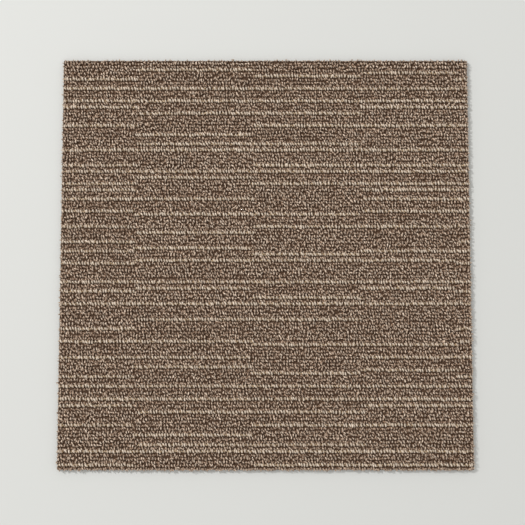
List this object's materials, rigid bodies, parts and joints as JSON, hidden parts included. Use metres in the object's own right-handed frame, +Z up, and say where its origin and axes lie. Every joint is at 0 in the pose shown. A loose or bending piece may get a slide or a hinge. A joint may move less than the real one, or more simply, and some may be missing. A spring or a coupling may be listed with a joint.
{
  "type": "carpet tile",
  "caption": "Square loop-pile carpet tile with fine lighter rows in a brown pile, on a heavy backing, for loose laying as flooring.",
  "frame": {"origin": "centre of the underside, on the floor", "axes": "+Z up out of the pile, +X along the rows of loops, +Y across the rows towards the top of the picture"},
  "size_m": [0.5, 0.5, 0.0068],
  "materials": {
    "backing": "matt moulded backing compound",
    "yarn": "matt heathered brown loop pile with lighter tan rows"
  },
  "bodies": {
    "root": {"backing": "backing", "loop_pile": "yarn"}
  },
  "joints": []
}
